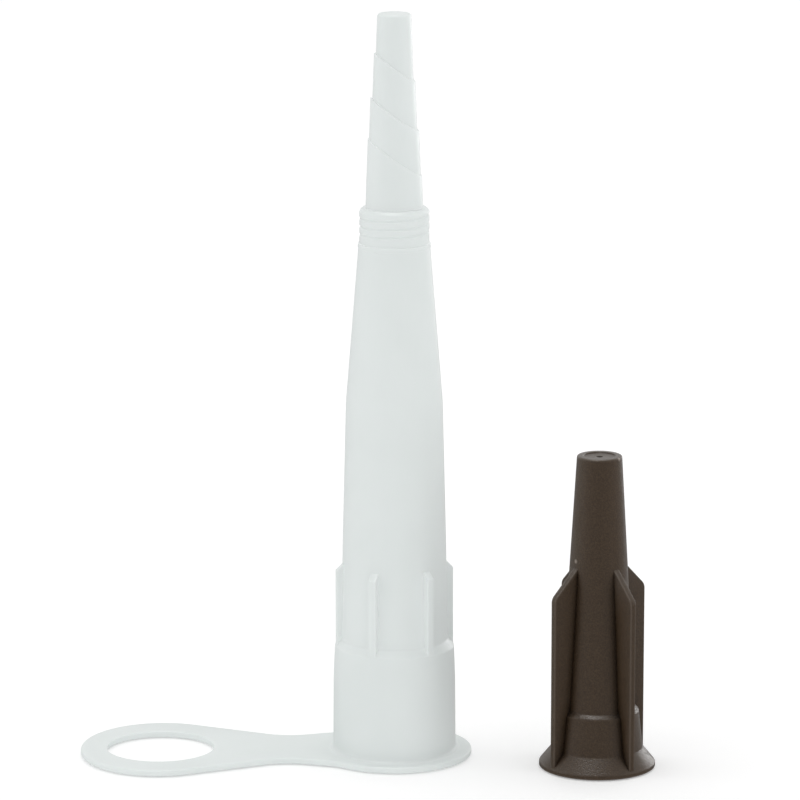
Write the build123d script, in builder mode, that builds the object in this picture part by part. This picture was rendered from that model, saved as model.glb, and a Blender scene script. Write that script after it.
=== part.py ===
"""Nozzle of a caulk cartridge with its tie ring, and its screw cap stood beside it.

Frame, in millimetres: the Z axis is the nozzle's axis, z = 0 is the flat face that both
pieces stand on, and the tie ring lies along -X.
"""

import os
from math import acos, atan2, cos, hypot, radians, sin, tan

from build123d import *

# ---------------------------------------------------------------- cartridge neck, inside the skirt
neck_bore_radius = 7.35       # crest of the cartridge thread
neck_thread_depth = 0.65
neck_thread_pitch = 3.0
neck_groove_root = 0.7        # width of the groove at its bottom
neck_groove_mouth = 1.35      # width of the groove at the bore
neck_thread_start = 2.2
neck_thread_runout = 2.0      # bore left plain past the thread
neck_lead_flare = 0.85
neck_lead_depth = 1.0
neck_roof = 2.6               # from the end of the neck bore up to the top of the skirt

# ---------------------------------------------------------------- nozzle: lengths up the axis
flange_thickness = 1.0
skirt_waist_height = 13.0
skirt_height = 17.6
grip_ledge_rise = 1.2
grip_length = 16.9
barrel_length = 22.0
cone_length = 24.3
thread_length = 6.2           # bead and cap thread together
tip_length = 30.0

# ---------------------------------------------------------------- nozzle: radii, walls and edges
flange_overhang = 2.5
flange_edge_round = 0.3
skirt_wall = 1.6
skirt_waist_taper = 0.08
skirt_top_taper = 0.3
skirt_foot_round = 0.6
grip_ledge_depth = 0.95
grip_taper = 0.3
barrel_taper = 0.55

rib_count = 6
rib_first_angle = 8.0
rib_width = 1.2
rib_inset = 0.1               # rib tops lie this far inside the skirt's top edge
rib_length = 12.2
rib_top_bevel = 2.6           # height over which a rib's top slopes back to the body

thread_radius = 5.4           # crest of the thread for the cap
thread_stem_step = 0.15       # how far the cone's end stands out past the crest
thread_bead_step = 0.2
thread_bead_height = 0.7
thread_lead_bevel = 0.45

tip_radius = 2.6
tip_draft = 0.034             # radius gained per millimetre down the tip
tip_end_round = 0.45
cut_angle = 35.0              # slope of the three cutting steps
cut_drops = (22.1, 15.5, 8.2)       # each step's centre, below the tip's end
cut_ledges = (0.81, 0.62, 0.3)      # how far the tip stands out from its core below each step

passage_wall = 1.35           # wall over the barrel and the cone
tip_root_wall = 0.73          # where the tip stands on the thread's stem
tip_wall = 1.05               # at the tip's end
tip_end_wall = 1.2

# ---------------------------------------------------------------- tie ring
ring_distance = 36.8          # from the nozzle's axis to the hole's centre
ring_neck_clearance = 0.4     # hole over the root of the cartridge thread
ring_end_band = 4.1           # width of the ring at the end of the strap
ring_side_band = 5.2          # width of the ring at its sides
strap_waist_reach = 5.1       # from the flange's edge to the strap's waist
strap_waist_half_width = 6.0
strap_waist_round = 8.0
strap_foot_angle = 45.0       # where the strap's edges meet the flange, from -X
strap_foot_round = 6.0

# ---------------------------------------------------------------- cap
cap_x = 31.6
cap_y = -6.5
cap_thread_clearance = 0.1
cap_thread_depth = 8.0
cap_lead_bevel = 0.4
cap_tip_clearance = 0.7       # round the end of the nozzle's tip, screwed home
cap_end_room = 10.0
cap_end_wall = 1.4
cap_wall = 1.0
cap_draft = 0.0585            # radius gained per millimetre down the cap
cap_top_round = 0.25
cap_dish_radius = 2.45
cap_dish_depth = 0.2
cap_gate_radius = 0.5
cap_gate_depth = 0.35

collar_wall = 0.95            # at the shoulder, over the bore
collar_roof = 0.9             # from the end of the bore up to the shoulder
collar_flare = 0.65
collar_foot_height = 3.0
collar_shoulder_round = 0.45
cap_flange_radius = 9.05
cap_flange_rim = 0.6

wing_count = 4
wing_first_angle = 35.7
wing_inset = 0.25             # outer edges of the wings, in from the flange's rim
wing_thickness = 1.0
wing_shoulder_height = 27.8
wing_top_slope = 45.0
wing_corner_round = 1.4

os.makedirs("parts", exist_ok=True)


# ---------------------------------------------------------------- nozzle: heights and radii that follow
neck_depth = skirt_height - neck_roof
grip_top_height = skirt_height + grip_length
rib_top_height = skirt_height + rib_length
barrel_top_height = grip_top_height + barrel_length
cone_top_height = barrel_top_height + cone_length
bead_top_height = cone_top_height + thread_bead_height
thread_top_height = cone_top_height + thread_length
tip_height = thread_top_height + tip_length

neck_root_radius = neck_bore_radius + neck_thread_depth
skirt_radius = neck_root_radius + skirt_wall
skirt_top_radius = skirt_radius - skirt_top_taper
flange_radius = skirt_radius + flange_overhang
grip_floor_radius = skirt_top_radius - grip_ledge_depth
grip_top_radius = grip_floor_radius - grip_taper
barrel_top_radius = grip_top_radius - barrel_taper
cone_top_radius = thread_radius + thread_stem_step
bead_radius = thread_radius + thread_bead_step


def tip_core_radius(level):
    """Radius of the tip's slim core at a level."""
    return tip_radius + tip_draft * (tip_height - level)


tip_root_radius = tip_core_radius(thread_top_height) + max(cut_ledges)

# ---------------------------------------------------------------- nozzle: sleeves of the tip
# The tip is a slim core inside three shorter cones, each cut off by a sloping plane, so
# that it steps down towards its end along three lines to cut at.
cut_normal = (sin(radians(cut_angle)), 0, cos(radians(cut_angle)))
sleeves = []
for cut_drop, cut_ledge in zip(cut_drops, cut_ledges):
    cut_height = tip_height - cut_drop
    sleeve_top = cut_height + tip_core_radius(cut_height) + cut_ledge
    with BuildPart() as sleeve:
        with Locations((0, 0, cone_top_height)):
            Cone(
                tip_core_radius(cone_top_height) + cut_ledge,
                tip_core_radius(sleeve_top) + cut_ledge,
                sleeve_top - cone_top_height,
                align=(Align.CENTER, Align.CENTER, Align.MIN),
            )
        split(bisect_by=Plane(origin=(0, 0, cut_height), z_dir=cut_normal), keep=Keep.BOTTOM)
    sleeves.append(sleeve.part)

# ---------------------------------------------------------------- nozzle: groove of the cartridge thread
# The groove starts a little inside the bore, so that it opens through the wall cleanly.
with BuildPart() as neck_groove:
    with BuildLine() as groove_path:
        Helix(
            pitch=neck_thread_pitch,
            height=neck_depth - neck_thread_start - neck_thread_runout,
            radius=neck_bore_radius,
            center=(0, 0, neck_thread_start),
        )
    groove_plane = Plane(origin=groove_path.line @ 0, x_dir=(1, 0, 0), z_dir=groove_path.line % 0)
    with BuildSketch(groove_plane) as groove_section:
        with BuildLine():
            Polyline(
                (-neck_thread_depth / 2, -neck_groove_mouth / 2),
                (0, -neck_groove_mouth / 2),
                (neck_thread_depth, -neck_groove_root / 2),
                (neck_thread_depth, neck_groove_root / 2),
                (0, neck_groove_mouth / 2),
                (-neck_thread_depth / 2, neck_groove_mouth / 2),
                close=True,
            )
        make_face()
    sweep(sections=groove_section.sketch, path=groove_path.line, is_frenet=True)

# ---------------------------------------------------------------- nozzle: outline of the strap
# The strap's edges run from its waist to where they touch the ring. The ring is an
# ellipse, so the touching point is found on it squeezed to a circle.
ring_hole_radius = neck_root_radius + ring_neck_clearance
ring_end_radius = ring_hole_radius + ring_end_band
ring_side_radius = ring_hole_radius + ring_side_band
strap_waist_distance = flange_radius + strap_waist_reach
squeezed_half_width = strap_waist_half_width * ring_end_radius / ring_side_radius
waist_run = ring_distance - strap_waist_distance
waist_reach = hypot(waist_run, squeezed_half_width)
touch_angle = atan2(squeezed_half_width, waist_run) + acos(ring_end_radius / waist_reach)
touch_x = -ring_distance + ring_end_radius * cos(touch_angle)
touch_y = ring_side_radius * sin(touch_angle)
strap_foot_x = -flange_radius * cos(radians(strap_foot_angle))
strap_foot_y = flange_radius * sin(radians(strap_foot_angle))

# ---------------------------------------------------------------- nozzle
with BuildPart() as nozzle:
    # Flange, strap and tie ring, one flat plate.
    with BuildSketch() as plate:
        Circle(flange_radius)
        with Locations((-ring_distance, 0)):
            Ellipse(ring_end_radius, ring_side_radius)
        with BuildLine():
            Polyline(
                (touch_x, touch_y),
                (-strap_waist_distance, strap_waist_half_width),
                (strap_foot_x, strap_foot_y),
                (strap_foot_x, -strap_foot_y),
                (-strap_waist_distance, -strap_waist_half_width),
                (touch_x, -touch_y),
                close=True,
            )
        make_face()
        for side in (1, -1):
            waist = (-strap_waist_distance, side * strap_waist_half_width)
            fillet(plate.vertices().sort_by_distance(waist)[0], strap_waist_round)
            foot = (strap_foot_x, side * strap_foot_y)
            fillet(plate.vertices().sort_by_distance(foot)[0], strap_foot_round)
    extrude(amount=flange_thickness)
    plate_rims = nozzle.faces().filter_by(Axis.Z).edges()
    fillet(plate_rims, flange_edge_round)
    with Locations((-ring_distance, 0, flange_thickness)):
        Hole(ring_hole_radius)

    # Skirt, barrel, cone and thread stem, turned about the axis.
    with BuildSketch(Plane.XZ):
        with BuildLine():
            Polyline(
                (0, 0),
                (skirt_radius, 0),
                (skirt_radius, flange_thickness),
                (skirt_radius - skirt_waist_taper, skirt_waist_height),
                (skirt_top_radius, skirt_height),
                (grip_floor_radius, skirt_height + grip_ledge_rise),
                (grip_top_radius, grip_top_height),
                (barrel_top_radius, barrel_top_height),
                (cone_top_radius, cone_top_height),
                (bead_radius, cone_top_height),
                (bead_radius, bead_top_height),
                (thread_radius, bead_top_height),
                (thread_radius, thread_top_height - thread_lead_bevel),
                (thread_radius - thread_lead_bevel, thread_top_height),
                (0, thread_top_height),
                close=True,
            )
        make_face()
    revolve(axis=Axis.Z)
    skirt_foot = nozzle.edges().sort_by_distance((-skirt_radius, 0, flange_thickness))[0]
    fillet(skirt_foot, skirt_foot_round)

    # Ribs of the grip: flat fins with a sloped top.
    rib_radius = skirt_top_radius - rib_inset
    rib_root_radius = grip_top_radius - rib_width
    for rib_index in range(rib_count):
        rib_angle = rib_first_angle + rib_index * 360 / rib_count
        with BuildSketch(Plane.XZ.rotated((0, 0, rib_angle))):
            with BuildLine():
                Polyline(
                    (rib_root_radius, skirt_height),
                    (rib_radius, skirt_height),
                    (rib_radius, rib_top_height),
                    (grip_top_radius, rib_top_height + rib_top_bevel),
                    (rib_root_radius, rib_top_height + rib_top_bevel),
                    close=True,
                )
            make_face()
        extrude(amount=rib_width / 2, both=True)

    # Stepped tip.
    with BuildSketch(Plane.XZ):
        with BuildLine():
            Polyline(
                (0, cone_top_height),
                (tip_core_radius(cone_top_height), cone_top_height),
                (tip_radius, tip_height),
                (0, tip_height),
                close=True,
            )
        make_face()
    revolve(axis=Axis.Z)
    add(sleeves)
    tip_rim = nozzle.faces().sort_by(Axis.Z)[-1].edges()
    fillet(tip_rim, tip_end_round)

    # Inside: lead-in, neck bore, and the passage up to the closed end.
    passage_end_height = tip_height - tip_end_wall
    with BuildSketch(Plane.XZ):
        with BuildLine():
            Polyline(
                (0, 0),
                (neck_bore_radius + neck_lead_flare, 0),
                (neck_bore_radius, neck_lead_depth),
                (neck_bore_radius, neck_depth),
                (grip_floor_radius - passage_wall, neck_depth),
                (barrel_top_radius - passage_wall, barrel_top_height),
                (cone_top_radius - passage_wall, cone_top_height),
                (tip_root_radius - tip_root_wall, thread_top_height),
                (tip_radius - tip_wall, passage_end_height),
                (0, passage_end_height),
                close=True,
            )
        make_face()
    revolve(axis=Axis.Z, mode=Mode.SUBTRACT)
    add(neck_groove.part, mode=Mode.SUBTRACT)

nozzle.part.label = "nozzle"
export_step(nozzle.part, "parts/nozzle.step")


# ---------------------------------------------------------------- cap: sizes that follow from the nozzle
# Screwed home, the cap sits on the thread's bead with the tip inside its tube.
tip_end_in_cap = tip_height - bead_top_height
cap_height = cap_thread_depth + tip_length + cap_end_room + cap_end_wall
cap_bore_radius = thread_radius + cap_thread_clearance
hollow_end_height = cap_height - cap_end_wall
shoulder_height = cap_thread_depth + collar_roof
shoulder_radius = cap_bore_radius + collar_wall
wing_radius = cap_flange_radius - wing_inset


def tube_radius(level):
    """Outer radius of the cap's drafted tube at a level."""
    return tip_radius + cap_tip_clearance + cap_wall + cap_draft * (tip_end_in_cap - level)


shoulder_top_height = shoulder_height + shoulder_radius - tube_radius(shoulder_height)
cap_axis = Axis((cap_x, cap_y, 0), (0, 0, 1))
cap_profile_plane = Plane(origin=(cap_x, cap_y, 0), x_dir=(1, 0, 0), z_dir=(0, -1, 0))
cap_top_plane = Plane(origin=(cap_x, cap_y, cap_height))

# ---------------------------------------------------------------- cap
with BuildPart() as cap:
    # Flange, collar and closed tube, turned about the cap's own axis.
    with BuildSketch(cap_profile_plane) as cap_profile:
        with BuildLine():
            Polyline(
                (0, 0),
                (cap_flange_radius, 0),
                (cap_flange_radius, cap_flange_rim),
                (shoulder_radius + collar_flare, collar_foot_height),
                (shoulder_radius, shoulder_height),
                (tube_radius(shoulder_top_height), shoulder_top_height),
                (tube_radius(cap_height), cap_height),
                (0, cap_height),
                close=True,
            )
        make_face()
        shoulder_corner = cap_profile_plane.from_local_coords((shoulder_radius, shoulder_height, 0))
        fillet(cap_profile.vertices().sort_by_distance(shoulder_corner)[0], collar_shoulder_round)
    revolve(axis=cap_axis)
    cap_rim = cap.faces().sort_by(Axis.Z)[-1].edges()
    fillet(cap_rim, cap_top_round)

    # Four grip wings, from the flange up to a sloped top that dies into the tube.
    wing_apex_height = wing_shoulder_height + wing_radius * tan(radians(wing_top_slope))
    for wing_index in range(wing_count):
        wing_angle = radians(wing_first_angle + wing_index * 360 / wing_count)
        wing_plane = Plane(
            origin=(cap_x, cap_y, 0),
            x_dir=(cos(wing_angle), sin(wing_angle), 0),
            z_dir=(sin(wing_angle), -cos(wing_angle), 0),
        )
        with BuildSketch(wing_plane) as wing:
            with BuildLine():
                Polyline(
                    (0, cap_flange_rim / 2),
                    (wing_radius, cap_flange_rim / 2),
                    (wing_radius, wing_shoulder_height),
                    (0, wing_apex_height),
                    close=True,
                )
            make_face()
            wing_corner = wing_plane.from_local_coords((wing_radius, wing_shoulder_height, 0))
            fillet(wing.vertices().sort_by_distance(wing_corner)[0], wing_corner_round)
        extrude(amount=wing_thickness / 2, both=True)

    # Hollow: the bore that screws over the nozzle's thread, then the tip's space.
    with BuildSketch(cap_profile_plane):
        with BuildLine():
            Polyline(
                (0, 0),
                (cap_bore_radius + cap_lead_bevel, 0),
                (cap_bore_radius, cap_lead_bevel),
                (cap_bore_radius, cap_thread_depth),
                (tube_radius(cap_thread_depth) - cap_wall, cap_thread_depth),
                (tube_radius(hollow_end_height) - cap_wall, hollow_end_height),
                (0, hollow_end_height),
                close=True,
            )
        make_face()
    revolve(axis=cap_axis, mode=Mode.SUBTRACT)

    # Shallow dish in the closed end, with the moulding gate's dimple at its centre.
    with BuildSketch(cap_top_plane):
        Circle(cap_dish_radius)
    extrude(amount=-cap_dish_depth, mode=Mode.SUBTRACT)
    with BuildSketch(cap_top_plane):
        Circle(cap_gate_radius)
    extrude(amount=-cap_dish_depth - cap_gate_depth, mode=Mode.SUBTRACT)

cap.part.label = "cap"
export_step(cap.part, "parts/cap.step")
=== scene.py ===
from math import cos, pi, radians, sin, tan

import bpy
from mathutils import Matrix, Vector


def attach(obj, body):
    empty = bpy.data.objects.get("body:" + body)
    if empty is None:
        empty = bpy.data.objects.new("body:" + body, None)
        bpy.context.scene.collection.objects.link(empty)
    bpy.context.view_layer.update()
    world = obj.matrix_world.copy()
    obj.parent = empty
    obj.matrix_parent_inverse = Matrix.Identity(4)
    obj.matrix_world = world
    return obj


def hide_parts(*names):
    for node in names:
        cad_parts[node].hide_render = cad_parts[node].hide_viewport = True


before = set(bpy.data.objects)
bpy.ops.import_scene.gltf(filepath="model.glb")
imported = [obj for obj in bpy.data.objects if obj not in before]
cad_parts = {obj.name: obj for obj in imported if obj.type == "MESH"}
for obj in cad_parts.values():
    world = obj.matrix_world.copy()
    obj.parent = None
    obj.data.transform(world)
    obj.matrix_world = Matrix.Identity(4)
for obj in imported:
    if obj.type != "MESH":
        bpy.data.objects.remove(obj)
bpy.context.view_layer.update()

# ============================================================================== nozzle
# One injection moulding of unpigmented polyethylene. It screws on a sealant cartridge's neck,
# the ring on its strap slips over that neck and keeps the two together, and its stepped tip is
# cut off at the step that gives the bead wanted.

# ------------------------------------------------------------------------------ flange and ring
# Flange, strap and tie ring lie flat on the ground, a millimetre thick, with rounded rims.
# Sizes are in millimetres, and the finished piece is scaled to metres.
touch = 0.02  # points this close together are one point
flange_radius = 12.1
plate_thickness = 1.0
plate_rim_round = 0.3
plate_rim_steps = 3
outline_steps = 120
ring_centre = -36.8
ring_half_length = 12.5
ring_half_width = 13.6
ring_hole_radius = 8.4
ring_hole_lip = 0.14
ring_hole_steps = 96
ring_joins_strap = -32.1
flange_joins_strap = -7.75
strap_waist = (-17.2, 6.0)
strap_waist_setback = 2.94
strap_foot = (-8.68, 8.52)
strap_foot_setback = 1.23
strap_corner_steps = 8


def drop_selection():
    """Leaves edit mode with nothing selected."""
    if bpy.context.object and bpy.context.object.mode == "EDIT":
        bpy.ops.object.mode_set(mode="OBJECT")
    bpy.ops.object.select_all(action="DESELECT")


def pick(piece, kind, wanted):
    """In edit mode, selects only a piece's vertices, edges or faces for which wanted() holds."""
    bpy.ops.object.mode_set(mode="EDIT")
    bpy.ops.mesh.select_mode(type=kind)
    bpy.ops.mesh.select_all(action="DESELECT")
    bpy.ops.object.mode_set(mode="OBJECT")
    mesh = piece.data
    group = {"VERT": mesh.vertices, "EDGE": mesh.edges, "FACE": mesh.polygons}[kind]
    for element in group:
        element.select = bool(wanted(element))
    bpy.ops.object.mode_set(mode="EDIT")


def near(place, reach=touch):
    """A test for pick(): the vertices within reach of a place."""
    return lambda vertex: (vertex.co - Vector(place)).length < reach


def tidy_skin(piece, gap=0.0005):
    """Merges doubled points and turns all faces outwards."""
    bpy.ops.object.mode_set(mode="EDIT")
    bpy.ops.mesh.select_mode(type="VERT")
    bpy.ops.mesh.select_all(action="SELECT")
    bpy.ops.mesh.remove_doubles(threshold=gap)
    bpy.ops.mesh.normals_make_consistent(inside=False)
    bpy.ops.object.mode_set(mode="OBJECT")


def settle(piece):
    """Moves a piece's place into its mesh, so that its object sits at the origin."""
    drop_selection()
    piece.select_set(True)
    bpy.context.view_layer.objects.active = piece
    bpy.ops.object.transform_apply(location=True, rotation=True, scale=True)
    return piece


def combine(body, other, how="UNION"):
    """Welds another solid to a body, or cuts it out, and drops the other solid."""
    drop_selection()
    bpy.context.view_layer.objects.active = body
    step = body.modifiers.new("weld", "BOOLEAN")
    step.operation = how
    step.solver = "EXACT"
    step.object = other
    bpy.ops.object.modifier_apply(modifier=step.name)
    bpy.data.objects.remove(other)


drop_selection()
bpy.ops.mesh.primitive_circle_add(vertices=outline_steps, radius=flange_radius)
flange_outline = settle(bpy.context.object)
pick(flange_outline, "VERT", lambda v: v.co.x < flange_joins_strap)
bpy.ops.mesh.delete(type="VERT")
drop_selection()
bpy.ops.mesh.primitive_circle_add(vertices=outline_steps, radius=1, location=(ring_centre, 0, 0))
bpy.context.object.scale = (ring_half_length, ring_half_width, 1)
plate = settle(bpy.context.object)
plate.name = "nozzle_plate"
pick(plate, "VERT", lambda v: v.co.x > ring_joins_strap)
bpy.ops.mesh.delete(type="VERT")
drop_selection()
flange_outline.select_set(True)
plate.select_set(True)
bpy.context.view_layer.objects.active = plate
bpy.ops.object.join()
for side in (1, -1):
    ring_end = max(
        (v.co.copy() for v in plate.data.vertices if v.co.x < strap_waist[0] and v.co.y * side > 0),
        key=lambda place: place.x,
    )
    flange_end = min(
        (v.co.copy() for v in plate.data.vertices if v.co.x > strap_foot[0] and v.co.y * side > 0),
        key=lambda place: place.x,
    )
    waist = Vector((strap_waist[0], side * strap_waist[1], 0))
    foot = Vector((strap_foot[0], side * strap_foot[1], 0))
    pick(plate, "VERT", near(ring_end))
    bpy.ops.mesh.extrude_region_move(TRANSFORM_OT_translate={"value": waist - ring_end})
    bpy.ops.mesh.extrude_region_move(TRANSFORM_OT_translate={"value": foot - waist})
    bpy.ops.object.mode_set(mode="OBJECT")
    pick(plate, "VERT", lambda v: near(foot)(v) or near(flange_end)(v))
    bpy.ops.mesh.edge_face_add()
    bpy.ops.object.mode_set(mode="OBJECT")
    for corner, setback in ((waist, strap_waist_setback), (foot, strap_foot_setback)):
        pick(plate, "VERT", near(corner))
        bpy.ops.mesh.bevel(affect="VERTICES", offset=setback, segments=strap_corner_steps)
        bpy.ops.object.mode_set(mode="OBJECT")
bpy.ops.object.mode_set(mode="EDIT")
bpy.ops.mesh.select_all(action="SELECT")
bpy.ops.mesh.edge_face_add()
bpy.ops.mesh.extrude_region_move(TRANSFORM_OT_translate={"value": (0, 0, plate_thickness)})
tidy_skin(plate)


def lies_flat(edge):
    """A test for pick(): the edges round the plate's top and bottom."""
    start, end = (plate.data.vertices[corner].co.z for corner in edge.vertices)
    return abs(start - end) < touch


pick(plate, "EDGE", lies_flat)
bpy.ops.mesh.bevel(offset=plate_rim_round, segments=plate_rim_steps)
drop_selection()

# The ring's hole has a slightly broken edge above and below, from the flared ends of its punch.
bpy.ops.mesh.primitive_cylinder_add(
    vertices=ring_hole_steps,
    radius=ring_hole_radius,
    depth=3 * plate_thickness,
    location=(ring_centre, 0, plate_thickness / 2),
)
ring_punch = settle(bpy.context.object)
for lip_height, outward in ((plate_thickness - ring_hole_lip, 1), (ring_hole_lip, -1)):
    pick(ring_punch, "FACE", lambda f: True)
    bpy.ops.mesh.bisect(plane_co=(0, 0, lip_height), plane_no=(0, 0, 1))
    bpy.ops.object.mode_set(mode="OBJECT")
    pick(
        ring_punch, "VERT", lambda v: (v.co.z - lip_height) * outward > plate_thickness / 2
    )
    flare = 1 + (plate_thickness + ring_hole_lip) / ring_hole_radius
    bpy.ops.transform.resize(value=(flare, flare, 1), center_override=(ring_centre, 0, 0))
    bpy.ops.object.mode_set(mode="OBJECT")
combine(plate, ring_punch, "DIFFERENCE")

# ------------------------------------------------------------------------------ skirt to tip
# One turned body: the skirt grips the cartridge neck, a ledge steps in to the barrel, and the
# cone ends in a bead and the stem that carries the cap's thread, with the slim tip above it.
weld_radius = 10.3
weld_height = 0.5
skirt_foot_height = 0.98
stem_radius = 5.4
stem_top = 87.0
tip_radius = 2.6
tip_draft = 0.034
tip_top = 117.0


def core_radius(height):
    """Radius of the tip without its sleeves."""
    return tip_radius + tip_draft * (tip_top - height)


nozzle_profile = (  # radius, height, rounding
    (0, weld_height, 0),
    (weld_radius, weld_height, 0),
    (weld_radius, skirt_foot_height, 0),
    (9.6, skirt_foot_height, 0.58),  # skirt
    (9.52, 13.0, 2.0),
    (9.3, 17.6, 0.16),  # ledge
    (8.35, 18.8, 0.25),
    (8.05, 34.5, 0.2),  # barrel
    (7.5, 56.5, 0.6),  # cone
    (5.55, 80.8, 0),
    (5.62, 80.82, 0.02),  # bead
    (5.6, 81.5, 0.1),
    (stem_radius, 81.5, 0),  # stem
    (stem_radius, 86.55, 0.12),
    (4.95, stem_top, 0.12),
    (core_radius(stem_top), stem_top, 0),  # tip
    (core_radius(tip_top), tip_top, 0.45),
    (0, tip_top, 0),
)


def turned(name, profile, axis=(0, 0), steps=outline_steps, corner_steps=4, corner_reach=0.005):
    """Draws half an outline point by point, rounds its corners and spins it about its axis."""
    drop_selection()
    first_radius, first_height, _ = profile[0]
    bpy.ops.mesh.primitive_plane_add(
        size=1, location=(axis[0] + first_radius, axis[1], first_height)
    )
    body = settle(bpy.context.object)
    body.name = name
    bpy.ops.object.mode_set(mode="EDIT")
    bpy.ops.mesh.select_mode(type="VERT")
    bpy.ops.mesh.select_all(action="SELECT")
    bpy.ops.mesh.merge(type="CENTER")
    for (radius, height, _), (next_radius, next_height, _) in zip(profile, profile[1:]):
        bpy.ops.mesh.extrude_region_move(
            TRANSFORM_OT_translate={"value": (next_radius - radius, 0, next_height - height)}
        )
    bpy.ops.object.mode_set(mode="OBJECT")
    for radius, height, rounding in profile:
        if rounding:
            pick(body, "VERT", near((axis[0] + radius, axis[1], height), corner_reach))
            bpy.ops.mesh.bevel(affect="VERTICES", offset=rounding, segments=corner_steps)
            bpy.ops.object.mode_set(mode="OBJECT")
    bpy.ops.object.mode_set(mode="EDIT")
    bpy.ops.mesh.select_all(action="SELECT")
    bpy.ops.mesh.spin(steps=steps, angle=2 * pi, center=(*axis, 0), axis=(0, 0, 1))
    tidy_skin(body)
    return body


nozzle = turned("nozzle_moulding", nozzle_profile)
combine(nozzle, plate)

# ------------------------------------------------------------------------------ grip ribs
# Six flat fins round the lower barrel, to turn the nozzle by hand. Their tops slope back to
# the barrel, and their edges are hardly broken.
rib_count = 6
rib_first_angle = 8.0
rib_width = 1.2
rib_inner_radius = 7.4
rib_outer_radius = 9.2
rib_foot = 17.0
rib_shoulder = 29.8
rib_slope = (2.6, 0, 1.15)
rib_edge = 0.1
fin_edge_steps = 2

for rib_index in range(rib_count):
    drop_selection()
    bpy.ops.mesh.primitive_cube_add(
        size=1, location=((rib_inner_radius + rib_outer_radius) / 2, 0, rib_shoulder)
    )
    rib = bpy.context.object
    rib.scale = (rib_outer_radius - rib_inner_radius, rib_width, 2 * (rib_shoulder - rib_foot))
    settle(rib)
    pick(rib, "FACE", lambda f: True)
    bpy.ops.mesh.bisect(
        plane_co=(rib_outer_radius, 0, rib_shoulder),
        plane_no=rib_slope,
        use_fill=True,
        clear_outer=True,
    )
    bpy.ops.mesh.select_all(action="SELECT")
    bpy.ops.mesh.bevel(offset=rib_edge, segments=fin_edge_steps)
    bpy.ops.object.mode_set(mode="OBJECT")
    rib.rotation_euler.z = radians(rib_first_angle + rib_index * 360 / rib_count)
    settle(rib)
    combine(nozzle, rib)

# ------------------------------------------------------------------------------ stepped tip
# Three sleeves stand round the slim tip, each cut off at a slant, as lines to cut the tip at
# for a wider bead of sealant.
cut_heights = (94.9, 101.5, 108.8)
cut_ledges = (0.81, 0.62, 0.3)
cut_angle = radians(35)
cut_edge = 0.08
cut_edge_steps = 2
sleeve_foot = 84.0
sleeve_above_cut = 5
sleeve_steps = 96

for cut_height, cut_ledge in zip(cut_heights, cut_ledges):
    sleeve_top = cut_height + sleeve_above_cut
    drop_selection()
    bpy.ops.mesh.primitive_cone_add(
        vertices=sleeve_steps,
        radius1=core_radius(sleeve_foot) + cut_ledge,
        radius2=core_radius(sleeve_top) + cut_ledge,
        depth=sleeve_top - sleeve_foot,
        location=(0, 0, (sleeve_foot + sleeve_top) / 2),
    )
    sleeve = settle(bpy.context.object)
    pick(sleeve, "FACE", lambda f: True)
    bpy.ops.mesh.bisect(
        plane_co=(0, 0, cut_height),
        plane_no=(sin(cut_angle), 0, cos(cut_angle)),
        use_fill=True,
        clear_outer=True,
    )
    bpy.ops.mesh.select_all(action="DESELECT")
    bpy.ops.object.mode_set(mode="OBJECT")
    slant = max(sleeve.data.polygons, key=lambda f: f.normal.z * (f.normal.x > sin(cut_angle) / 2))
    rim = {frozenset(pair) for pair in slant.edge_keys}
    pick(sleeve, "EDGE", lambda e: frozenset(e.vertices) in rim)
    bpy.ops.mesh.bevel(offset=cut_edge, segments=cut_edge_steps)
    bpy.ops.object.mode_set(mode="OBJECT")
    combine(nozzle, sleeve)

# ------------------------------------------------------------------------------ passage
# The sealant's way up from the cartridge neck to the closed end of the tip. It is left by one
# long core pin, whose foot also forms the lead-in and the bore for the neck.
neck_bore_radius = 7.35
neck_depth = 15.0
passage_end = 115.8
core_pin_steps = 96
passage_profile = (  # radius, height, rounding
    (0, -1.0, 0),
    (9.05, -1.0, 0),
    (neck_bore_radius, 1.0, 0.3),
    (neck_bore_radius, neck_depth, 0.1),
    (7.0, neck_depth, 0.1),
    (6.15, 56.5, 0.3),
    (4.2, 80.8, 0.3),
    (3.7, stem_top, 0.3),
    (1.55, passage_end, 0.4),
    (0, passage_end, 0),
)
combine(nozzle, turned("passage", passage_profile, steps=core_pin_steps), "DIFFERENCE")

# ------------------------------------------------------------------------------ threads
# A coarse groove inside the skirt takes the cartridge neck's thread, and a fine one round the
# stem takes the cap's. Both are right-handed. Their sections give radius and height.
neck_thread_pitch = 3.0
neck_thread_start = 2.2
neck_thread_turns = 3.6
neck_groove = (
    (6.95, -0.9),
    (neck_bore_radius, -0.675),
    (8.0, -0.35),
    (8.0, 0.35),
    (neck_bore_radius, 0.675),
    (6.95, 0.9),
)
cap_thread_pitch = 1.28
cap_thread_start = 82.15
cap_thread_turns = 4.3
cap_groove = ((5.6, -0.55), (5.26, -0.1), (5.26, 0.1), (5.6, 0.55))


def thread_body(name, section, pitch, start, turns, axis=(0, 0), steps=72):
    """Runs a thread's section up a right-handed screw line and closes its two ends."""
    drop_selection()
    bpy.ops.mesh.primitive_circle_add(vertices=len(section), radius=1)
    body = bpy.context.object
    body.name = name
    for vertex, (radius, height) in zip(body.data.vertices, section):
        vertex.co = (radius, 0, height)
    screw = body.modifiers.new("screw", "SCREW")
    screw.axis = "Z"
    screw.angle = 2 * pi * turns
    screw.screw_offset = pitch * turns
    screw.steps = screw.render_steps = round(steps * turns)
    bpy.ops.object.modifier_apply(modifier=screw.name)
    body.location = (*axis, start)
    settle(body)
    pick(body, "EDGE", lambda e: False)
    bpy.ops.mesh.select_non_manifold()
    bpy.ops.mesh.edge_face_add()
    tidy_skin(body)
    return body


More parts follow.
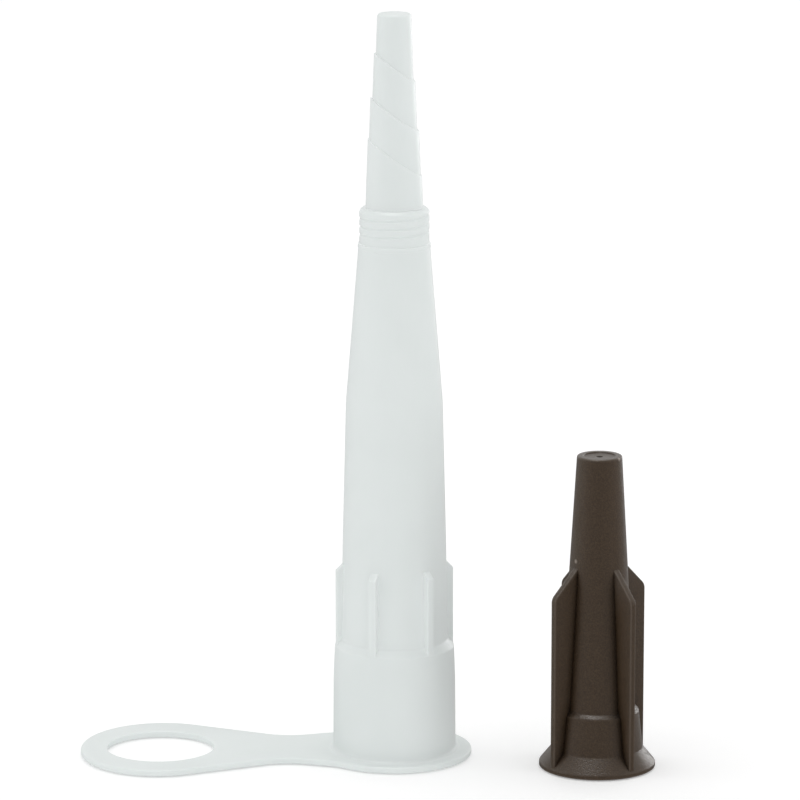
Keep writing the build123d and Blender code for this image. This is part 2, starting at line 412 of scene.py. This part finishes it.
for groove in (
    ("neck_groove", neck_groove, neck_thread_pitch, neck_thread_start, neck_thread_turns),
    ("cap_groove", cap_groove, cap_thread_pitch, cap_thread_start, cap_thread_turns),
):
    combine(nozzle, thread_body(*groove), "DIFFERENCE")


def clear_seams(piece, straight=radians(179.5), least=0.0001):
    """Drops the spare points that cuts leave on straight edges, and slivers of no width."""
    corners = piece.data.vertices
    spokes = {}
    for edge in piece.data.edges:
        start, end = edge.vertices
        spokes.setdefault(start, []).append(end)
        spokes.setdefault(end, []).append(start)

    def spare(corner):
        if len(spokes[corner.index]) != 2:
            return False
        first, second = (corners[end].co - corner.co for end in spokes[corner.index])
        return first.angle(second, 0) > straight

    pick(piece, "VERT", spare)
    bpy.ops.mesh.dissolve_verts()
    bpy.ops.mesh.select_all(action="SELECT")
    bpy.ops.mesh.dissolve_degenerate(threshold=least)
    bpy.ops.object.mode_set(mode="OBJECT")


def to_metres(piece, smooth_below=radians(34)):
    """Clears a finished piece's seams, scales it to metres and smooths its gentle edges."""
    clear_seams(piece)
    drop_selection()
    piece.scale = (0.001, 0.001, 0.001)
    settle(piece)
    bpy.ops.object.shade_smooth_by_angle(angle=smooth_below)


to_metres(nozzle)

# ------------------------------------------------------------------------------ natural plastic
# Milky, letting light in under its skin, with a satin moulded face. Inner corners are painted
# paler: painted light for the light that reaches them through the thin walls beside them.
milk_colour = (0.735, 0.776, 0.766, 1)
milk_thin_colour = (0.755, 0.794, 0.785, 1)
# painted light: the paler colour laid into inner corners and creases
milk_painted_light_colour = (0.87, 0.895, 0.89, 1)


def speckle_group():
    """A fine even grain and a slow drift, as masks from 0 to 1, sized in metres."""
    group = bpy.data.node_groups.new("moulded_skin", "ShaderNodeTree")
    group.interface.new_socket("Grain size", in_out="INPUT", socket_type="NodeSocketFloat")
    group.interface.new_socket("Drift size", in_out="INPUT", socket_type="NodeSocketFloat")
    group.interface.new_socket("Grain", in_out="OUTPUT", socket_type="NodeSocketFloat")
    group.interface.new_socket("Drift", in_out="OUTPUT", socket_type="NodeSocketFloat")
    nodes, links = group.nodes, group.links
    entry = nodes.new("NodeGroupInput")
    leave = nodes.new("NodeGroupOutput")
    place = nodes.new("ShaderNodeTexCoord")
    for mask, size, detail in (("Grain", "Grain size", 3.0), ("Drift", "Drift size", 2.0)):
        count = nodes.new("ShaderNodeMath")
        count.operation = "DIVIDE"
        count.inputs[0].default_value = 1.0
        links.new(entry.outputs[size], count.inputs[1])
        noise = nodes.new("ShaderNodeTexNoise")
        noise.inputs["Detail"].default_value = detail
        links.new(place.outputs["Object"], noise.inputs["Vector"])
        links.new(count.outputs[0], noise.inputs["Scale"])
        links.new(noise.outputs["Fac"], leave.inputs[mask])
    return group


moulded_skin = speckle_group()


def finish_on(name, piece):
    """Starts a material for a piece and returns its nodes, links and shader."""
    material = bpy.data.materials.new(name)
    material.use_nodes = True
    piece.data.materials.clear()
    piece.data.materials.append(material)
    nodes = material.node_tree.nodes
    return nodes, material.node_tree.links, nodes["Principled BSDF"]


def blended(nodes, links, mask, low, high, first, second):
    """Mixes two colours by a mask, from first below low to second above high."""
    ramp = nodes.new("ShaderNodeValToRGB")
    ramp.color_ramp.elements[0].position = low
    ramp.color_ramp.elements[1].position = high
    ramp.color_ramp.elements[0].color = first
    ramp.color_ramp.elements[1].color = second
    links.new(mask, ramp.inputs["Fac"])
    return ramp.outputs["Color"]


def found_near(nodes, links, reach, inside, low, high):
    """A mask that is 0 in corners, or with inside=True on sharp edges, and 1 on open faces."""
    probe = nodes.new("ShaderNodeAmbientOcclusion")
    probe.samples = 8
    probe.inside = inside
    probe.only_local = True
    probe.inputs["Distance"].default_value = reach
    spread = nodes.new("ShaderNodeMapRange")
    spread.inputs["From Min"].default_value = low
    spread.inputs["From Max"].default_value = high
    links.new(probe.outputs["AO"], spread.inputs["Value"])
    return spread.outputs["Result"]


def over(nodes, links, mask, where_0, where_1):
    """Lays one colour where the mask is 0 over another where it is 1."""
    mix = nodes.new("ShaderNodeMix")
    mix.data_type = "RGBA"
    first, second, mixed = mix.inputs[6], mix.inputs[7], mix.outputs[2]
    links.new(mask, mix.inputs["Factor"])
    first.default_value = where_0
    links.new(where_1, second)
    return mixed


def skin_masks(nodes, grain_size, drift_size):
    """Places the moulded skin's node group and returns its grain and its drift."""
    skin = nodes.new("ShaderNodeGroup")
    skin.node_tree = moulded_skin
    skin.inputs["Grain size"].default_value = grain_size
    skin.inputs["Drift size"].default_value = drift_size
    return skin.outputs["Grain"], skin.outputs["Drift"]


def between(nodes, links, mask, at_0, at_1):
    """Turns a mask into a value that runs from at_0 to at_1."""
    spread = nodes.new("ShaderNodeMapRange")
    spread.inputs["To Min"].default_value = at_0
    if isinstance(at_1, float):
        spread.inputs["To Max"].default_value = at_1
    else:
        links.new(at_1, spread.inputs["To Max"])
    links.new(mask, spread.inputs["Value"])
    return spread.outputs["Result"]


def raise_grain(nodes, links, shader, grain, strength, depth):
    """Lets the grain stand out of a surface by its depth in metres."""
    relief = nodes.new("ShaderNodeBump")
    relief.inputs["Strength"].default_value = strength
    relief.inputs["Distance"].default_value = depth
    links.new(grain, relief.inputs["Height"])
    links.new(relief.outputs["Normal"], shader.inputs["Normal"])


nodes, links, shader = finish_on("natural_polyethylene", nozzle)
grain, drift = skin_masks(nodes, grain_size=0.0004, drift_size=0.012)
milky = blended(nodes, links, drift, 0.35, 0.65, milk_colour, milk_thin_colour)
# painted light: the base colour turns paler in inner corners and creases
painted_crease_light = found_near(nodes, links, reach=0.0012, inside=False, low=0.4, high=0.92)
links.new(over(nodes, links, painted_crease_light, milk_painted_light_colour, milky), shader.inputs["Base Color"])
links.new(between(nodes, links, grain, 0.40, 0.52), shader.inputs["Roughness"])
raise_grain(nodes, links, shader, grain, strength=0.25, depth=0.00002)
shader.inputs["Subsurface Weight"].default_value = 0.35
shader.inputs["Subsurface Radius"].default_value = (1.0, 1.05, 1.0)
shader.inputs["Subsurface Scale"].default_value = 0.0008
shader.inputs["IOR"].default_value = 1.5
shader.inputs["Specular IOR Level"].default_value = 0.45
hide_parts("nozzle")
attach(nozzle, "root")

# ============================================================================== screw cap
# One injection moulding of dark brown polypropylene, taken off and stood on its flange. It
# screws over the nozzle's stem and closes a cut tip, and its wings give the fingers a hold.

# ------------------------------------------------------------------------------ collar and tube
# A turned body with a flange to stand on, a collar over the thread and a tapered tube that holds
# the tip. Its end is dished, with the mark of the moulding gate in the middle.
cap_axis = (31.6, -6.5)
cap_flange_radius = 9.05
tube_top = 49.4
dish_floor = 49.2
gate_floor = 48.85
cap_profile = (  # radius, height, rounding
    (0, 0, 0),
    (cap_flange_radius, 0, 0.1),
    (cap_flange_radius, 0.6, 0.14),
    (7.1, 3.0, 0.15),
    (6.45, 8.9, 0.16),  # collar
    (5.821, 9.494, 0.1),  # tube
    (3.487, tube_top, 0.28),
    (2.5, tube_top, 0.06),
    (2.4, dish_floor, 0.05),
    (0.55, dish_floor, 0.05),
    (0.4, gate_floor, 0.05),
    (0, gate_floor, 0),
)
cap = turned("screw_cap", cap_profile, cap_axis)

# ------------------------------------------------------------------------------ wings
# Four fins stand out from the collar and the lower tube, to screw the cap on and off by hand.
# Each runs up from the flange and slopes back into the tube from a rounded corner.
wing_count = 4
wing_first_angle = 35.7
wing_reach = (3.0, 8.8)
wing_thickness = 1.0
wing_foot = 0.3
wing_shoulder = 27.8
wing_corner_round = 1.4
wing_corner_steps = 6
wing_edge = 0.13
wing_touch = 0.01

for wing_index in range(wing_count):
    drop_selection()
    bpy.ops.mesh.primitive_cube_add(
        size=1, location=(sum(wing_reach) / 2, 0, wing_foot + wing_shoulder)
    )
    wing = bpy.context.object
    wing.scale = (wing_reach[1] - wing_reach[0], wing_thickness, 2 * wing_shoulder)
    settle(wing)
    pick(wing, "FACE", lambda f: True)
    bpy.ops.mesh.bisect(
        plane_co=(wing_reach[1], 0, wing_shoulder),
        plane_no=(1, 0, 1),
        use_fill=True,
        clear_outer=True,
    )
    bpy.ops.object.mode_set(mode="OBJECT")

    def at_shoulder(edge):
        """A test for pick(): the edge where the wing begins to slope back."""
        ends = [wing.data.vertices[corner].co for corner in edge.vertices]
        return all(
            abs(end.x - wing_reach[1]) < wing_touch and abs(end.z - wing_shoulder) < wing_touch
            for end in ends
        )

    def on_outline(edge):
        """A test for pick(): the edges round the wing's two faces, but for those in the tube."""
        start, end = (wing.data.vertices[corner].co for corner in edge.vertices)
        along_face = abs(start.y - end.y) < wing_touch
        in_tube = max(start.x, end.x) < wing_reach[0] + wing_touch
        return along_face and not in_tube

    pick(wing, "EDGE", at_shoulder)
    bpy.ops.mesh.bevel(
        offset=wing_corner_round * tan(radians(45) / 2), segments=wing_corner_steps
    )
    bpy.ops.object.mode_set(mode="OBJECT")
    pick(wing, "EDGE", on_outline)
    bpy.ops.mesh.bevel(offset=wing_edge, segments=fin_edge_steps)
    bpy.ops.object.mode_set(mode="OBJECT")
    wing.rotation_euler.z = radians(wing_first_angle + wing_index * 360 / wing_count)
    wing.location = (*cap_axis, 0)
    settle(wing)
    combine(cap, wing)

# ------------------------------------------------------------------------------ hollow and thread
# Below, a bore with its own fine ridge screws over the stem, and the tip goes up the tube. The
# bore's mouth is chamfered, so that it finds the thread.
cap_bore_radius = 5.5
cap_bore_depth = 8.0
hollow_top = 48.0
hollow_profile = (  # radius, height, rounding
    (0, -1.0, 0),
    (6.9, -1.0, 0),
    (cap_bore_radius, 0.4, 0.1),
    (cap_bore_radius, cap_bore_depth, 0.2),
    (4.909, cap_bore_depth, 0.1),
    (2.569, hollow_top, 0.5),
    (0, hollow_top, 0),
)
cap_ridge = ((5.65, -0.5), (5.2, -0.1), (5.2, 0.1), (5.65, 0.5))
cap_ridge_start = 1.3
cap_ridge_turns = 4.2
combine(cap, turned("cap_hollow", hollow_profile, cap_axis, steps=core_pin_steps), "DIFFERENCE")
combine(
    cap,
    thread_body(
        "cap_ridge", cap_ridge, cap_thread_pitch, cap_ridge_start, cap_ridge_turns, cap_axis
    ),
)
to_metres(cap)

# ------------------------------------------------------------------------------ brown plastic
# Finely grained all over by its spark-eroded mould, with painted shade darkening the corners beside
# the wings, painted highlights on its edges and two small scuffs from handling.
brown_colour = (0.036, 0.0195, 0.0080, 1)
brown_light_colour = (0.058, 0.0345, 0.0160, 1)
# painted shade for the corners beside the wings
brown_painted_shade_colour = (0.005, 0.0022, 0.0007, 1)
# painted highlight for the sharp edges
brown_painted_highlight_colour = (0.105, 0.080, 0.060, 1)
brown_scuff_colour = (0.22, 0.18, 0.15, 1)
cap_scuffs = (  # place in metres, reach in metres
    ((0.0280, -0.0090, 0.0332), 0.00042),
    ((0.0345, -0.0083, 0.0492), 0.00042),
)


def away_from(nodes, links, place, reach):
    """A mask that is 0 on a small spot and 1 everywhere else."""
    where = nodes.new("ShaderNodeTexCoord")
    gap = nodes.new("ShaderNodeVectorMath")
    gap.operation = "DISTANCE"
    gap.inputs[1].default_value = place
    links.new(where.outputs["Object"], gap.inputs[0])
    spread = nodes.new("ShaderNodeMapRange")
    spread.inputs["From Min"].default_value = reach / 3
    spread.inputs["From Max"].default_value = reach
    links.new(gap.outputs["Value"], spread.inputs["Value"])
    return spread.outputs["Result"]


nodes, links, shader = finish_on("brown_polypropylene", cap)
grain, _ = skin_masks(nodes, grain_size=0.0002, drift_size=0.006)
coloured = blended(nodes, links, grain, 0.38, 0.66, brown_colour, brown_light_colour)
# painted shade: the base colour darkens almost to black in the corners beside the wings
painted_corner_shade = found_near(nodes, links, reach=0.0027, inside=False, low=0.5, high=0.9)
# painted highlight: the base colour turns paler and greyer along sharp edges
painted_edge_highlight = found_near(nodes, links, reach=0.00035, inside=True, low=0.55, high=1.0)
coloured = over(nodes, links, painted_corner_shade, brown_painted_shade_colour, coloured)
coloured = over(nodes, links, painted_edge_highlight, brown_painted_highlight_colour, coloured)
for place, reach in cap_scuffs:
    off_scuff = away_from(nodes, links, place, reach)
    coloured = over(nodes, links, off_scuff, brown_scuff_colour, coloured)
links.new(coloured, shader.inputs["Base Color"])
open_roughness = between(nodes, links, grain, 0.30, 0.44)
links.new(between(nodes, links, painted_corner_shade, 0.22, open_roughness), shader.inputs["Roughness"])
raise_grain(nodes, links, shader, grain, strength=1.0, depth=0.00005)
shader.inputs["IOR"].default_value = 1.49
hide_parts("cap")
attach(cap, "root")

# ============================================================================== floor and light
# A white sweep, faintly lit through, in a bright room with soft boxes above and on both sides.
# Reflections see a greyer floor without that glow, and a room that is darker in front, so that
# both plastics keep their form.
floor_size = 6.0
floor_height = -0.0002
floor_colour = (0.8, 0.8, 0.8, 1)
reflected_floor_colour = (0.35, 0.35, 0.35, 1)
floor_glow = 0.28

drop_selection()
bpy.ops.mesh.primitive_plane_add(size=floor_size, location=(0, 0, floor_height))
floor = bpy.context.object
floor.name = "floor"
nodes, links, shader = finish_on("white_sweep", floor)
in_reflection = nodes.new("ShaderNodeLightPath").outputs["Is Glossy Ray"]
shader.inputs["Emission Color"].default_value = (1, 1, 1, 1)
links.new(between(nodes, links, in_reflection, floor_glow, 0.0), shader.inputs["Emission Strength"])
links.new(
    blended(nodes, links, in_reflection, 0.0, 1.0, floor_colour, reflected_floor_colour),
    shader.inputs["Base Color"],
)
shader.inputs["Roughness"].default_value = 0.9
shader.inputs["Specular IOR Level"].default_value = 0.1

world = bpy.data.worlds.new("white_room")
bpy.context.scene.world = world
world.use_nodes = True
world.node_tree.nodes["Background"].inputs["Color"].default_value = (1, 1, 1, 1)
nodes, links = world.node_tree.nodes, world.node_tree.links
towards = nodes.new("ShaderNodeTexCoord")
compass = nodes.new("ShaderNodeSeparateXYZ")
links.new(towards.outputs["Generated"], compass.inputs["Vector"])
ray = nodes.new("ShaderNodeLightPath")
front_ends = -1.0
back_begins = 0.2


def from_front_to_back(front, back):
    """Brightness of the room from its front, behind the camera, round to its back."""
    fall = nodes.new("ShaderNodeMapRange")
    fall.inputs["From Min"].default_value = front_ends
    fall.inputs["From Max"].default_value = back_begins
    fall.inputs["To Min"].default_value = front
    fall.inputs["To Max"].default_value = back
    links.new(compass.outputs["Y"], fall.inputs["Value"])
    return fall.outputs["Result"]


def choose(mask, otherwise, chosen):
    """Takes one value where the mask is 0 and the other where it is 1."""
    mix = nodes.new("ShaderNodeMix")
    factor, first, second, mixed = mix.inputs[0], mix.inputs[2], mix.inputs[3], mix.outputs[0]
    links.new(mask, factor)
    for socket, value in ((first, otherwise), (second, chosen)):
        if isinstance(value, float):
            socket.default_value = value
        else:
            links.new(value, socket)
    return mixed


soft_light = from_front_to_back(0.94, 0.89)
reflected_room = from_front_to_back(0.3, 1.0)
room = choose(ray.outputs["Is Glossy Ray"], soft_light, reflected_room)
room = choose(ray.outputs["Is Camera Ray"], room, 1.0)
links.new(room, nodes["Background"].inputs["Strength"])

object_middle = Vector((-0.004, 0, 0.055))


def soft_lamp(name, place, width, power, diffuse=True, shine=True):
    """A square soft box that faces the object."""
    lamp = bpy.data.lights.new(name, "AREA")
    lamp.shape = "SQUARE"
    lamp.size = width
    lamp.energy = power
    stand = bpy.data.objects.new(name, lamp)
    stand.location = place
    stand.rotation_euler = (object_middle - Vector(place)).to_track_quat("-Z", "Y").to_euler()
    stand.visible_diffuse = diffuse
    stand.visible_glossy = shine
    bpy.context.scene.collection.objects.link(stand)


soft_lamp("top_box", (0.05, 0.12, 0.75), 0.35, 0.3)
soft_lamp("top_shine", (-0.08, -0.08, 0.78), 0.36, 3.6, diffuse=False)
soft_lamp("right_box", (0.75, 0.0, 0.02), 0.4, 0.46, shine=False)
soft_lamp("rim_shine", (0.6, 0.75, 0.1), 0.2, 1.0, diffuse=False)
soft_lamp("left_box", (-0.7, -0.1, 0.3), 0.4, 0.2)

# ============================================================================== camera
# A long lens stands three quarters of a metre in front of the nozzle, and looks a little down
# on both pieces.
camera_looks_down = radians(12.18)
camera = bpy.data.objects.new("camera", bpy.data.cameras.new("camera"))
camera.location = (0.00087, -0.745, 0.2175)
camera.rotation_euler = (radians(90) - camera_looks_down, 0, 0)
camera.data.lens = 221.4
camera.data.sensor_width = 36
camera.data.clip_start = 0.01
camera.data.clip_end = 20
bpy.context.scene.collection.objects.link(camera)
bpy.context.scene.camera = camera
bpy.context.scene.view_settings.view_transform = "Standard"
